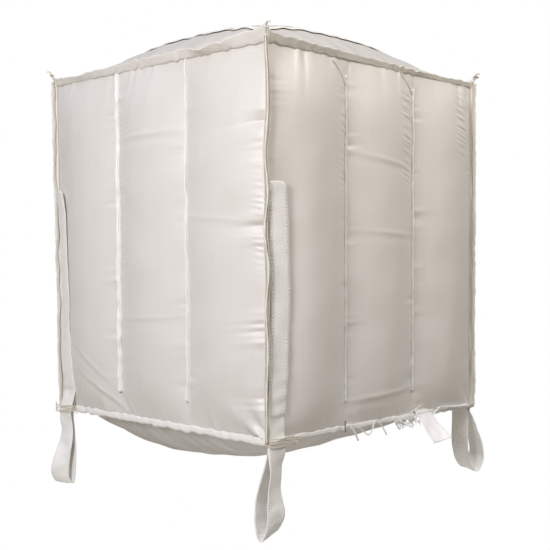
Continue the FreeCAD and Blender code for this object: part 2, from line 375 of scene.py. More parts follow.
class Material(Nodes):
    def __init__(self, name):
        self.material = bpy.data.materials.new(name)
        self.material.use_nodes = True
        super().__init__(self.material.node_tree)
        self.shader = self.tree.nodes["Principled BSDF"]

    def cloth_place(self):
        """Where a point is in the flat cloth, across and along it, in metres."""
        uv = self.add("ShaderNodeUVMap").outputs["UV"]
        parts = self.add("ShaderNodeSeparateXYZ", {"Vector": uv})
        return parts.outputs["X"], parts.outputs["Y"]

    def place(self):
        return self.add("ShaderNodeTexCoord").outputs["Object"]

    def waves(self, value, pitch):
        """0 to 1 and back in each pitch."""
        wave = self.math("SINE", self.math("MULTIPLY", value, 2 * math.pi / pitch))
        return self.math("MULTIPLY_ADD", wave, 0.5, 0.5)

    def relief(self, height, distance, strength, after=None):
        node = self.add("ShaderNodeBump", {"Height": height, "Distance": distance, "Strength": strength})
        if after is not None:
            self.plug(after, node.inputs["Normal"])
        return node.outputs["Normal"]

    def finish(self, colour, roughness, normal=None, sheen=0.0, coat=0.0):
        self.plug(colour, self.shader.inputs["Base Color"])
        self.plug(roughness, self.shader.inputs["Roughness"])
        if normal is not None:
            self.plug(normal, self.shader.inputs["Normal"])
        self.shader.inputs["Sheen Weight"].default_value = sheen
        self.shader.inputs["Coat Weight"].default_value = coat
        self.shader.inputs["Coat Roughness"].default_value = 0.35
        return self.material


def woven_fabric(name, light, dark, tape=0.0028, roughness=0.36, coat=0.25, depth=0.0003):
    """Coated plastic tapes in plain weave, with faint streaks along both sets of tapes."""
    nodes = Material(name)
    uv = nodes.add("ShaderNodeUVMap").outputs["UV"]
    parts = nodes.add("ShaderNodeSeparateXYZ", {"Vector": uv})
    across, along = parts.outputs["X"], parts.outputs["Y"]
    u = nodes.math("DIVIDE", across, tape)
    v = nodes.math("DIVIDE", along, tape)
    weft = nodes.math("ABSOLUTE", nodes.math("SINE", nodes.math("MULTIPLY", u, math.pi)))
    warp = nodes.math("ABSOLUTE", nodes.math("SINE", nodes.math("MULTIPLY", v, math.pi)))
    cell = nodes.math("ADD", nodes.math("FLOOR", u), nodes.math("FLOOR", v))
    over = nodes.math("PINGPONG", cell, 1.0)
    under = nodes.math("SUBTRACT", 1.0, over)
    weave = nodes.math("ADD", nodes.math("MULTIPLY", weft, over), nodes.math("MULTIPLY", warp, under))
    place = nodes.place()
    stretch_up = nodes.add("ShaderNodeMapping", {"Vector": uv, "Scale": (260.0, 3.0, 1.0)}).outputs[0]
    stretch_side = nodes.add("ShaderNodeMapping", {"Vector": uv, "Scale": (3.0, 260.0, 1.0)}).outputs[0]
    streak_up = nodes.noise(stretch_up, 1.0, 2.0)
    streak_side = nodes.noise(stretch_side, 1.0, 2.0)
    cloud = nodes.noise(place, 3.2, 3.0)
    crease = nodes.noise(place, 38.0, 5.0)
    streaks = nodes.math("MULTIPLY", nodes.math("ADD", streak_up, streak_side), 0.5)
    shade = nodes.math("ADD", nodes.math("MULTIPLY", streaks, 0.75), nodes.math("MULTIPLY", cloud, 0.15))
    shade = nodes.math("MULTIPLY_ADD", weave, 0.14, shade)
    colour = nodes.ramp(shade, dark, light)
    rough = nodes.math("MULTIPLY_ADD", streaks, 0.2, roughness - 0.1)
    fine = nodes.relief(weave, depth, 0.6)
    normal = nodes.relief(crease, 0.0012, 0.22, fine)
    return nodes.finish(colour, rough, normal, sheen=0.1, coat=coat)


def webbing_material(name, light, dark, rib=0.0045):
    """Thick herringbone webbing: slanted yarns that turn back at stripes along it."""
    nodes = Material(name)
    across, along = nodes.cloth_place()
    stripe = nodes.math("PINGPONG", across, WEBBING / 8)
    slant = nodes.math("ADD", nodes.math("MULTIPLY", stripe, 1.1), along)
    yarn = nodes.waves(slant, 2 * rib)
    place = nodes.place()
    fuzz = nodes.noise(place, 420.0, 2.0)
    grime = nodes.noise(place, 9.0, 3.0)
    colour = nodes.ramp(nodes.mixed(yarn, 0.6, grime), dark, light)
    first = nodes.relief(fuzz, 0.0006, 0.3)
    normal = nodes.relief(yarn, 0.0009, 0.8, first)
    return nodes.finish(colour, 0.5, normal, sheen=0.35, coat=0.12)


def cord_material(name, light, dark, pitch=0.006):
    """Twisted yarn."""
    nodes = Material(name)
    across, along = nodes.cloth_place()
    twist = nodes.waves(nodes.math("ADD", nodes.math("MULTIPLY", across, 0.5), along), pitch)
    grime = nodes.noise(nodes.place(), 60.0, 3.0)
    colour = nodes.ramp(nodes.mixed(twist, 0.6, grime), dark, light)
    normal = nodes.relief(twist, 0.0008, 0.7)
    return nodes.finish(colour, 0.8, normal, sheen=0.2)


def label_material():
    """A coated paper tag, slightly creased, with no printing."""
    nodes = Material("label_paper")
    place = nodes.place()
    fibre = nodes.noise(place, 900.0, 2.0)
    wear = nodes.noise(place, 45.0, 5.0)
    colour = nodes.ramp(nodes.mixed(fibre, 0.4, wear), (0.79, 0.755, 0.73), (0.93, 0.895, 0.87))
    normal = nodes.relief(wear, 0.0018, 0.5, nodes.relief(fibre, 0.0002, 0.3))
    return nodes.finish(colour, 0.42, normal, coat=0.15)


WALL = woven_fabric("wall_fabric", (0.80, 0.765, 0.72), (0.68, 0.645, 0.60))
END = woven_fabric("end_fabric", (0.80, 0.77, 0.73), (0.68, 0.65, 0.61))
# The dome's fabric is a darker, warmer copy of the wall fabric: painted shade, so the dome stays dim under the
# strong light from above.
CROWN_PAINTED_SHADE = woven_fabric("crown_fabric_painted_shade", (0.60, 0.555, 0.485), (0.49, 0.45, 0.39), roughness=0.5, coat=0.12)
# The welts' fabric is a whiter copy of the wall fabric: a painted highlight for the raised ridges catching the
# light.
SEAM_PAINTED_HIGHLIGHT = woven_fabric("seam_fabric_painted_highlight", (0.96, 0.945, 0.925), (0.88, 0.86, 0.83), roughness=0.45, coat=0.2)
INNER = woven_fabric("inner_fabric", (0.80, 0.77, 0.73), (0.69, 0.66, 0.61), roughness=0.6, coat=0.05)
HEM = woven_fabric("hem_fabric", (0.86, 0.825, 0.775), (0.76, 0.725, 0.67), tape=0.0022,
                   roughness=0.6, coat=0.03)
STRAP = webbing_material("strap_webbing", (1.0, 0.975, 0.93), (0.78, 0.75, 0.70))
CORD = cord_material("filler_yarn", (0.86, 0.81, 0.70), (0.62, 0.56, 0.44))
THREAD = cord_material("sewing_thread", (0.95, 0.94, 0.92), (0.84, 0.82, 0.79), pitch=0.003)
DARK_THREAD = cord_material("dark_thread", (0.20, 0.18, 0.16), (0.06, 0.055, 0.05), pitch=0.003)
PAPER = label_material()


# Corners: each corner seam wanders a little, and leans a little from the true corner

ROOT_HALF = math.sqrt(0.5)
DIAGONAL = np.array([1, -1, 0]) * ROOT_HALF
SIDEWAYS = np.array([1, 1, 0]) * ROOT_HALF

CORNER_LEAN = {
    # how far (outwards, sideways) the corner stands at the base seam and at the top seam
    "front_right": ((0.000, 0.000), (-0.004, 0.002)),
    "back_right": ((0.004, 0.000), (0.002, 0.000)),
    "back_left": ((0.004, 0.000), (-0.006, 0.000)),
    "front_left": ((0.006, 0.000), (-0.018, 0.000)),
}


def corner_shift(quarter, height):
    """How far a corner seam stands from the true corner, as (x, y) on the +X side's axes."""
    corner = CORNERS[quarter % 4]
    share = np.asarray(height) / RISE
    (out_base, side_base), (out_top, side_top) = CORNER_LEAN[corner]
    wave = smooth_waves(40 + quarter % 4, 0.24, 0.70)
    ripple = smooth_waves(60 + quarter % 4, 0.06, 0.16)
    held = np.sin(np.pi * np.clip(share, 0, 1)) ** 0.4
    out = out_top + (out_base - out_top) * share + held * (0.0026 * wave(height) + 0.0006 * ripple(height))
    side = side_top + (side_base - side_top) * share + held * 0.0030 * wave(np.asarray(height) + 0.37)
    return (out + side) * ROOT_HALF, (side - out) * ROOT_HALF


def corner_line(quarter, height):
    """The corner seam in the row frame at some heights above the top seam."""
    x, y = corner_shift(quarter, height)
    height = np.asarray(height, float)
    return carry(stacked(HALF + x, -HALF + y, LOWER + height), quarter)


def to_side(points, quarter):
    return carry(points, -quarter % 4)


# Side panels

PANEL_COLUMNS = 72
PANEL_ROWS = 80
SLACK_ACROSS = 1.062
SLACK_UP = 1.022


def panel_frame(quarter):
    """The rest grid of a panel and its edges in place, before the air goes in."""
    s = np.linspace(-HALF, HALF, PANEL_COLUMNS + 1)
    h = np.linspace(0, RISE, PANEL_ROWS + 1)
    along, height = np.meshgrid(s, h)
    share = (along + HALF) / (2 * HALF)
    near = to_side(corner_line(quarter, height[:, 0]), quarter)
    far = to_side(corner_line(quarter + 1, height[:, -1]), quarter)
    left, right = near[:, None, :], far[:, None, :]
    base = left * (1 - share[..., None]) + right * share[..., None]
    lobes = np.abs(np.sin(BAYS * np.pi * share)) ** 0.9
    upright = 1 - np.abs(2 * height / RISE - 1) ** 8
    base[..., 0] += 0.034 * lobes * upright
    shiver = smooth_field(100 + quarter, 0.03, 0.12)
    base[..., 0] += 0.0010 * shiver(along, height) * lobes
    seam_wander = smooth_waves(120 + quarter, 0.12, 0.5)
    base[..., 1] += 0.0025 * seam_wander(height) * np.sin(np.pi * share)
    gather = smooth_waves(140 + quarter, 0.025, 0.07)
    base[..., 2] += 0.0022 * gather(along) * bump(height - RISE, 0.03)
    base[..., 2] += 0.0020 * gather(along + 0.3) * bump(height, 0.03)
    rest = stacked(HALF, along * SLACK_ACROSS, height * SLACK_UP)
    return along, height, base, rest


def pinned_points(along, height):
    edge = (np.abs(along) > HALF - 1e-6) | (height < 1e-6) | (height > RISE - 1e-6)
    on_seam = np.abs(np.abs(along) - THIRD) < 1e-4
    sewn = (height > BAFFLE_FOOT - LOWER) & (height < BAFFLE_HEAD - LOWER)
    return edge | (on_seam & sewn)


def pucker_rows(height, seed):
    """Sharp little gathers along a sewn line, more of them in some places than in others."""
    fine = smooth_waves(seed, 0.018, 0.040)
    coarse = smooth_waves(seed + 1, 0.035, 0.15)
    patch = smooth_waves(seed + 2, 0.10, 0.32)
    raw = 0.22 * fine(height) + 0.85 * coarse(height)
    return raw * np.clip(0.1 + 1.5 * patch(height), 0, 2.0)


SEAM_PUCKERS = {
    # how strongly each line is gathered: corner at the near end, two baffle seams, far corner
    "right": (0.0009, 0.0013, 0.0016, 0.0013),
    "back": (0.0009, 0.0010, 0.0010, 0.0012),
    "left": (0.0012, 0.0009, 0.0009, 0.0010),
    "front": (0.0014, 0.0013, 0.0011, 0.0032),
}

CREASES = {
    # side: (along, height above the top seam, half length, strength, slope)
    "front": (
        (0.01, 0.885, 0.13, 0.0045, 0.02), (0.0, 0.320, 0.12, 0.0035, 0.05),
        (0.30, 0.62, 0.12, 0.003, -0.08), (-0.24, 0.068, 0.10, 0.007, -0.50),
        (-0.30, 0.160, 0.08, 0.005, -0.65), (-0.117, 0.038, 0.04, 0.005, -1.20),
    ),
    "right": (
        (0.02, 0.805, 0.14, 0.0040, -0.10), (0.03, 0.583, 0.11, 0.0035, -0.04),
        (0.0, 0.083, 0.15, 0.007, 0.05),
    ),
    "back": ((0.05, 0.70, 0.12, 0.004, 0.05), (-0.28, 0.45, 0.10, 0.003, -0.06)),
    "left": ((-0.02, 0.82, 0.12, 0.004, -0.05), (0.30, 0.38, 0.10, 0.003, 0.08)),
}
CREASE_SHARE = 0.4

LADDERS = {
    # side: (along, half width, height, half height) of close rows of short gathers beside a seam
    "right": ((-0.188, 0.014, 0.84, 0.14), (0.120, 0.028, 0.90, 0.17), (0.415, 0.030, 0.97, 0.13)),
    "back": ((-0.14, 0.020, 0.90, 0.14), (0.19, 0.020, 0.70, 0.20), (-0.46, 0.02, 0.55, 0.30)),
    "left": ((0.14, 0.020, 0.85, 0.16), (-0.19, 0.018, 0.50, 0.20), (0.45, 0.025, 0.90, 0.15)),
    "front": ((-0.145, 0.012, 0.70, 0.25), (0.48, 0.014, 0.60, 0.10)),
}

TENTS = {
    # side: how strongly the cloth is gathered into its two lower corners
    "right": (0.004, 0.004), "back": (0.004, 0.005), "left": (0.005, 0.004), "front": (0.004, 0.015),
}


def panel_detail(side, quarter, along, height):
    """How far the finished surface stands off the simulated one."""
    strengths = SEAM_PUCKERS[side]
    off = np.zeros_like(along)
    lines = (-HALF, -THIRD, THIRD, HALF)
    for index, (line, strength) in enumerate(zip(lines, strengths)):
        for way in (-1, 1):
            gap = (along - line) * way
            reach = 0.038 if abs(line) == HALF else 0.024
            one_side = np.where(gap >= 0, np.exp(-gap / reach) * (1 - np.exp(-gap / 0.006)), 0)
            slant = height - 0.06 * way * gap
            off += 2.0 * strength * one_side * pucker_rows(slant, 200 + 20 * quarter + 4 * index + way)
    for place, level, half_length, rise, slope in CREASES[side]:
        line = level + slope * (along - place)
        ridge = bump(height - line, 0.008) - 0.6 * bump(height - line + 0.018, 0.013)
        off += CREASE_SHARE * rise * ridge * bump(along - place, half_length)
    for index, (place, half_width, level, half_height) in enumerate(LADDERS[side]):
        rung = smooth_waves(300 + 10 * quarter + index, 0.013, 0.030)
        patch = np.clip(1.4 * bump(height - level, half_height), 0, 1)
        off += 0.0013 * rung(height + 0.2 * (along - place)) * bump(along - place, half_width) * patch
    for edge, reach, seed in ((0.0, 0.035, 1), (RISE, 0.060, 2)):
        gather = pucker_rows(along + 0.2 * np.abs(height - edge), 400 + 10 * quarter + seed)
        gap = np.abs(height - edge)
        off += 0.0026 * gather * np.exp(-gap / reach) * (1 - np.exp(-gap / 0.006))
    for end, strength in zip((-1, 1), TENTS[side]):
        gap = HALF - end * along
        steep = np.arctan2(height + 0.012, gap + 0.012)
        away = np.hypot(gap, height)
        fold = np.sin(9 * steep + 3.0 * end)
        off += strength * fold * np.exp(-away / 0.06) * (1 - np.exp(-away / 0.012))
    broad = smooth_field(500 + quarter, 0.07, 0.30)
    off += 0.0011 * broad(along, height * 0.8)
    return off


def ironed(grid, held, times, both_ways=True):
    """A grid smoothed up and down, and across it too if both_ways, apart from the held points."""
    for _ in range(times):
        soft = grid.copy()
        soft[1:-1] = (grid[:-2] + 2 * grid[1:-1] + grid[2:]) / 4
        if both_ways:
            soft[:, 1:-1] = (soft[:, :-2] + 2 * soft[:, 1:-1] + soft[:, 2:]) / 4
        grid = np.where(held[..., None], grid, soft)
    return grid


# How far the strap's stiff webbing pulls the cloth under it in, as a share of how far it stands out
STRAP_FLAT = {"right": 0.55, "back": 0.25, "left": 0.30, "front": 0.10}


def make_panel(quarter):
    side = SIDES[quarter]
    along, height, base, rest = panel_frame(quarter)
    pinned = pinned_points(along, height)
    blown = ironed(inflate(base, rest, pinned, pressure=6.5), pinned, 4)
    blown = ironed(blown, pinned, 18, both_ways=False)
    depth = blown[..., 0] - HALF
    flat_strip = bump(along + HALF - 0.060, 0.055) / (1 + np.exp((height - 0.78) / 0.05))
    blown[..., 0] -= STRAP_FLAT[side] * flat_strip * np.where(pinned, 0, np.clip(depth, 0, 1))
    fine = refine(blown, more_rows=True)
    flat = refine(stacked(along, height), more_rows=True)
    fine_uv = flat * (SLACK_ACROSS, SLACK_UP)
    off = panel_detail(side, quarter, flat[..., 0], flat[..., 1])
    edge = np.ones_like(off)
    edge[0], edge[-1], edge[:, 0], edge[:, -1] = 0, 0, 0, 0
    fine = fine + grid_normals(fine) * (off * edge)[..., None]
    piece = cloth_piece(f"{side}_panel_cloth", carry(fine, quarter), fine_uv, WALL)
    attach(piece, "bag")
    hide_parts(f"{side}_panel")
    return fine


class Surface:
    """A finished panel that other pieces lie on, read by place and height on its own side."""

    def __init__(self, grid):
        rows, columns = grid.shape[:2]
        points = [Vector(point) for point in grid.reshape(-1, 3).tolist()]
        self.tree = BVHTree.FromPolygons(points, grid_faces(rows, columns))

    def out(self, along, height):
        start = Vector((HALF + 0.3, along, LOWER + height))
        hit = self.tree.ray_cast(start, Vector((-1, 0, 0)))[0]
        return hit.x if hit is not None else HALF


# Seams between the panels

def stitches(points, lift, length=0.006, gap=0.003, radius=0.0007):
    """Short raised stitches along a line. lift is the way they stand off it, one for each point."""
    points = np.asarray(points, float)
    lift = np.broadcast_to(lift, points.shape)
    reach = run_length(points)
    parts = []
    start = gap
    while start + length < reach[-1]:
        places = start + length * np.array([0, 0.25, 0.75, 1])
        rise = radius * np.array([-0.6, 0.9, 0.9, -0.6])
        away = read_line(places, reach, lift)
        parts.append(tube(read_line(places, reach, points) + away * rise[:, None], radius, sides=5))
        start += length + gap
    return parts


def sew(name, parts, quarter):
    """Stitches made on the +X side, as one piece of thread on the bag."""
    thread = turned(name, parts, THREAD, quarter)
    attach(thread, "bag")


WELTS = {
    # side: (width, rise) of the two seams
    "right": ((0.011, 0.0062), (0.013, 0.0080)),
    "back": ((0.012, 0.0070), (0.010, 0.0060)),
    "left": ((0.010, 0.0060), (0.013, 0.0075)),
    "front": ((0.020, 0.0110), (0.009, 0.0080)),
}
WELT_TOP = {"right": RISE - 0.050, "back": RISE - 0.030, "left": RISE - 0.020, "front": RISE - 0.004}


def baffle_seam(quarter, index, surface):
    """The welt where a baffle is sewn to a panel, with its stitches."""
    side = SIDES[quarter]
    word = ("first", "second")[index]
    place = (-THIRD, THIRD)[index]
    width, rise = WELTS[side][index]
    height = np.linspace(BAFFLE_FOOT - LOWER, WELT_TOP[side], 150)
    wander = smooth_waves(600 + 10 * quarter + index, 0.04, 0.25)
    thick = smooth_waves(640 + 10 * quarter + index, 0.05, 0.20)
    across = np.linspace(-1, 1, 7)
    centre = place + 0.0016 * wander(height)
    outs = np.array([surface.out(along, level) for along, level in zip(centre, height)])
    swell = 1 + 0.12 * thick(height)
    along = centre[:, None] + across[None, :] * (width / 2 * swell)[:, None]
    crest = (rise * swell)[:, None] * (1 - across[None, :] ** 2) - 0.0012
    grid = stacked(outs[:, None] + crest, along, LOWER + height[:, None])
    uv = stacked(along, height[:, None])
    # the whiter welt fabric is a painted highlight on the raised ridge
    piece = cloth_piece(f"{word}_baffle_welt_{side}", carry(grid, quarter), uv, SEAM_PAINTED_HIGHLIGHT, 0.0006)
    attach(piece, "bag")
    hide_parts(f"{word}_baffle_seam_{side}")
    parts = []
    for way in (-0.55, 0.55):
        line = stacked(outs + rise * 0.70 - 0.0004, centre + way * width / 2, LOWER + height)
        parts += stitches(line, (1, 0, 0))
    sew(f"{word}_baffle_stitching_{side}", parts, quarter)


def corner_seam(quarter):
    """The flange that stands out along a corner, and the yarn laid along both its sides."""
    corner = CORNERS[quarter]
    height = np.linspace(-0.004, RISE + 0.012, 200)
    line = to_side(corner_line(quarter, np.clip(height, 0, RISE)), quarter)
    line[:, 2] = LOWER + height
    flap = smooth_waves(700 + quarter, 0.16, 0.50)
    edge = smooth_waves(710 + quarter, 0.03, 0.20)
    share = np.linspace(0, 1, 6)
    width = 0.021 * (1 + 0.06 * edge(height))
    grid = line[:, None, :] + DIAGONAL * (width[:, None] * share)[..., None]
    grid = grid + SIDEWAYS * (0.0045 * flap(height)[:, None] * share ** 1.5)[..., None]
    uv = stacked(share * 0.022, height[:, None])
    flange = cloth_piece(f"corner_flange_{corner}", carry(grid, quarter), uv, HEM, 0.0028)
    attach(flange, "bag")
    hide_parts(f"corner_seam_{corner}")
    parts = []
    for way in (-1, 1):
        wander = smooth_waves(720 + 2 * quarter + way, 0.10, 0.40)
        off = 0.0052 + 0.0010 * wander(height + 0.2)
        path = line + DIAGONAL * (0.011 + 0.0018 * wander(height))[:, None] + SIDEWAYS * (way * off)[:, None]
        path = path + SIDEWAYS * (0.0045 * flap(height) * 0.4)[:, None]
        parts.append(tube(path, 0.0027, sides=6, twist=520, strands=2))
        seat = path + DIAGONAL * 0.0045
        parts += stitches(seat, SIDEWAYS * way, length=0.008, gap=0.004)
    cords = turned(f"corner_yarns_{corner}", parts, CORD, quarter)
    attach(cords, "bag")
    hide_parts(f"filler_cord_{corner}")


# Hems round the two end panels

RUFF_HEIGHT = {
    # side: height of the standing ruff at its near corner, middle and far corner
    "right": (0.026, 0.018, 0.014),
    "back": (0.030, 0.034, 0.036),
    "left": (0.036, 0.032, 0.030),
    "front": (0.022, 0.025, 0.036),
}


RUFF_FOLDS = {
    # side: (along, width, how far the ruff flops down, how far it leans further out)
    "right": ((-0.30, 0.09, 0.003, 0.004), (0.16, 0.10, 0.004, 0.003)),
    "back": ((0.10, 0.12, 0.004, 0.004),),
    "left": ((-0.12, 0.10, 0.005, 0.004),),
    "front": ((0.26, 0.045, 0.020, 0.016), (0.345, 0.030, 0.012, 0.010), (-0.36, 0.06, 0.006, 0.006)),
}


def base_hem(quarter, panel):
    """The gathered double edge that stands up and leans out along the base panel."""
    side = SIDES[quarter]
    foot = panel[-1]
    count = 260
    share = np.linspace(0, 1, count)
    steps = np.linspace(0, 1, len(foot))
    line = read_line(share, steps, foot)
    near, middle, far = RUFF_HEIGHT[side]
    tall = near * (1 - share) * (1 - 2 * share) + 4 * middle * share * (1 - share)
    tall += far * share * (2 * share - 1)
    tips = 0.012 * (bump(share, 0.014) + bump(share - 1, 0.014))
    along = line[:, 1]
    fold = smooth_waves(800 + quarter, 0.14, 0.60)
    pleat = smooth_waves(810 + quarter, 0.03, 0.09)
    up = np.linspace(0, 1, 9)[None, :]
    folds = (0.0024 * fold(along) + 0.0003 * pleat(along))[:, None] * up
    pinch = (0.0005 * pleat(along * 1.1 + 0.3))[:, None] * np.sin(np.pi * up) ** 2
    held = (1 - bump(share, 0.012) - bump(share - 1, 0.012))[:, None]
    lean = 0.62 * tall[:, None] * up ** 0.9
    out = line[:, :1] + 0.001 + lean + (folds + pinch) * held
    height = line[:, 2:] - 0.004 + (tall + tips)[:, None] * up + 0.0012 * fold(along * 1.7)[:, None] * up
    for place, width, drop, push in RUFF_FOLDS[side]:
        sag = bump(along - place, width)[:, None] * up ** 0.8
        height = height - drop * sag
        out = out + push * sag
    beyond = (bump(share - 1, 0.02) - bump(share, 0.02))[:, None] * 0.62 * tall[:, None] * up
    grid = stacked(out, along[:, None] + beyond, height)
    uv = stacked(along[:, None], up * 0.04)
    piece = cloth_piece(f"base_ruff_{side}", carry(grid, quarter), uv, HEM, 0.0026)
    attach(piece, "bag")
    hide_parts(f"base_hem_{side}")
    parts = []
    for level in (1, 2):
        seam = grid[:, level] + np.array([0.0016, 0, 0])
        parts += stitches(seam, (0.8, 0, -0.6), length=0.007, gap=0.004, radius=0.0008)
    sew(f"base_hem_stitching_{side}", parts, quarter)


# How bulky the rolled hem is
ROLL = {"right": 0.62, "back": 0.8, "left": 0.8, "front": 0.86}


def top_hem(quarter, panel):
    """The rolled edge that hangs along the top panel's seam."""
    side = SIDES[quarter]
    foot = panel[0]
    count = 220
    share = np.linspace(0.004, 0.996, count)
    steps = np.linspace(0, 1, len(foot))
    line = read_line(share, steps, foot)
    section = sample([
        (0.0015, 0.0060), (0.0050, 0.0010), (0.0078, -0.0070), (0.0072, -0.0150),
        (0.0020, -0.0185), (-0.0022, -0.0140), (-0.0022, -0.0060), (-0.0016, 0.0000),
    ], 18)
    along = line[:, 1]
    bulk = smooth_waves(850 + quarter, 0.05, 0.25)
    swing = smooth_waves(860 + quarter, 0.06, 0.30)
    size = ROLL[side] * (1 + 0.10 * bulk(along))
    out = line[:, :1] + section[None, :, 0] * size[:, None] + 0.001 * swing(along)[:, None]
    height = line[:, 2:] + section[None, :, 1] * size[:, None] + 0.0010 * swing(along + 0.4)[:, None]
    grid = stacked(out, along[:, None], height)
    uv = stacked(along[:, None], np.linspace(0, 0.045, 18)[None, :])
    piece = cloth_piece(f"rolled_hem_{side}", carry(grid, quarter), uv, HEM, 0.0010)
    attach(piece, "bag")
    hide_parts(f"top_hem_{side}")
    seam = grid[:, 3] + np.array([0.0008, 0, 0])
    sew(f"top_hem_stitching_{side}", stitches(seam, (1, 0, 0), 0.008, 0.004, 0.0008), quarter)


# Base panel, its spout and cover

END_STEPS = 64
BASE_SLACK = 1.075
TOP_SLACK = 1.05
DOME_RISE = DOME_TOP - UPPER - 0.005


def crown(x, y):
    """How far an end panel bulges at a place: 1 in the middle and 0 at its edges."""
    return np.clip(1 - np.abs(x / HALF) ** 3, 0, 1) * np.clip(1 - np.abs(y / HALF) ** 3, 0, 1)


def end_grid():
    line = np.linspace(-HALF, HALF, END_STEPS + 1)
    return np.meshgrid(line, line)


def boundary_shift(x, y, level):
    """Carry the square's points inwards or outwards with the four corner seams."""
    shift = np.zeros(x.shape + (2,))
    height = 0.0 if level == LOWER else RISE
    for quarter in range(4):
        sign_x, sign_y = carry(np.array([1.0, -1.0, 0.0]), quarter)[:2]
        weight = np.clip(0.5 + sign_x * x / (2 * HALF), 0, 1) * np.clip(0.5 + sign_y * y / (2 * HALF), 0, 1)
        corner = corner_line(quarter, np.array([height]))[0]
        shift += weight[..., None] * (corner[:2] - HALF * np.array([sign_x, sign_y]))
    return shift


def edge_distance(x, y):
    return HALF - np.maximum(np.abs(x), np.abs(y))


def end_puckers(x, y, seed):
    """Gathers that run in from the nearest edge and fade out."""
    gap = edge_distance(x, y)
    along = np.where(np.abs(x) > np.abs(y), y, x)
    sector = np.where(np.abs(x) > np.abs(y), np.where(x > 0, 0.0, 3.1), np.where(y > 0, 7.3, 11.9))
    fine = smooth_waves(seed, 0.022, 0.06)
    broad = smooth_waves(seed + 1, 0.06, 0.16)
    corner = np.clip(np.abs(np.abs(x) - np.abs(y)) / 0.06, 0, 1)
    near = 0.0035 * fine(along + sector) * np.exp(-gap / 0.04) * (1 - np.exp(-gap / 0.008))
    far = 0.0060 * broad(along + sector) * np.exp(-gap / 0.11) * (1 - np.exp(-gap / 0.03))
    return (near + far) * corner


def base_panel():
    x, y = end_grid()
    shift = boundary_shift(x, y, UPPER)
    rise = DOME_RISE * crown(x, y)
    wave = smooth_field(900, 0.05, 0.2)
    grid = stacked(x * 0.994 + shift[..., 0], y * 0.994 + shift[..., 1], UPPER + rise * 0.96)
    grid[..., 2] += 0.002 * wave(x, y) * crown(x, y)
    rest = stacked(x * BASE_SLACK, y * BASE_SLACK, UPPER)
    pinned = edge_distance(x, y) < 1e-6
    blown = inflate(grid, rest, pinned, pressure=5.0)
    blown[..., 2] = 0.35 * blown[..., 2] + 0.65 * grid[..., 2]
    peak = blown[..., 2].max() - UPPER
    blown[..., 2] = UPPER + (blown[..., 2] - UPPER) * DOME_RISE / peak
    fine = refine(blown)
    flat = refine(stacked(x, y))
    off = end_puckers(flat[..., 0], flat[..., 1], 910)
    fine = fine + grid_normals(fine) * off[..., None]
    middle = flat[:-1, :-1] + HALF / END_STEPS / 2
    keep = np.hypot(middle[..., 0], middle[..., 1]) > OUTLET_RADIUS - 0.002
    # its darker fabric is painted shade over the dome
    piece = cloth_piece("base_panel_cloth", fine, flat, CROWN_PAINTED_SHADE, keep=keep)
    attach(piece, "bag")
    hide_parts("base_panel")
    points = [Vector(point) for point in fine.reshape(-1, 3).tolist()]
    return BVHTree.FromPolygons(points, grid_faces(*fine.shape[:2]))


def height_on(tree, x, y):
    hit = tree.ray_cast(Vector((x, y, DOME_TOP + 0.3)), Vector((0, 0, -1)))[0]
    return hit.z if hit is not None else UPPER


def gathered_spout(name, node, radii, heights, pleats, depth):
    """A sleeve of cloth drawn together in pleats, as radii and heights down its length."""
    profile = sample(stacked(radii, heights), 40)
    turn = np.linspace(0, 2 * math.pi, 241)
    ring, angle = np.meshgrid(profile[:, 0], turn, indexing="ij")
    level = profile[:, 1][:, None]
    along = np.linspace(0, 1, 40)[:, None]
    wave = np.abs(np.sin(angle * pleats / 2)) - 0.64 + 0.25 * np.sin(3 * angle + 1)
    radius = np.maximum(ring + depth * wave * along ** 0.7, 0.004)
    grid = stacked(radius * np.cos(angle), radius * np.sin(angle), level)
    uv = stacked(angle * 0.1, along * 0.2)
    piece = cloth_piece(name, grid, uv, INNER)
    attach(piece, "bag")
    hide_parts(node)


def discharge_spout():
    low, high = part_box("discharge_spout")
    top, bottom = high[2] + 0.004, low[2]
    radii = (OUTLET_RADIUS - 0.001, OUTLET_RADIUS - 0.012, 0.10, 0.05, 0.022, 0.016, 0.026)
    heights = (top, top - 0.008, top - 0.035, top - 0.065, bottom + 0.024, bottom + 0.014, bottom + 0.002)
    gathered_spout("tied_discharge_spout", "discharge_spout", radii, heights, 26, 0.007)
    turn = np.linspace(0, 3 * 2 * math.pi, 90)
    tie = stacked(0.021 * np.cos(turn), 0.021 * np.sin(turn), bottom + 0.011 + 0.0016 * turn / math.pi)
    band = joined("discharge_spout_tie", [tube(tie, 0.0022, sides=6)], CORD)
    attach(band, "bag")


def cover_grid(reach, dome, lift, count=81):
    line = np.linspace(-reach, reach, count)
    x, y = np.meshgrid(line, line)
    z = np.array([[height_on(dome, a, b) for a, b in zip(*rows)] for rows in zip(x, y)])
    for _ in range(3):
        soft = z.copy()
        soft[1:-1, 1:-1] = (z[:-2, 1:-1] + z[2:, 1:-1] + z[1:-1, :-2] + z[1:-1, 2:]) / 4
        z = np.maximum(soft, z)
    return x, y, z + lift


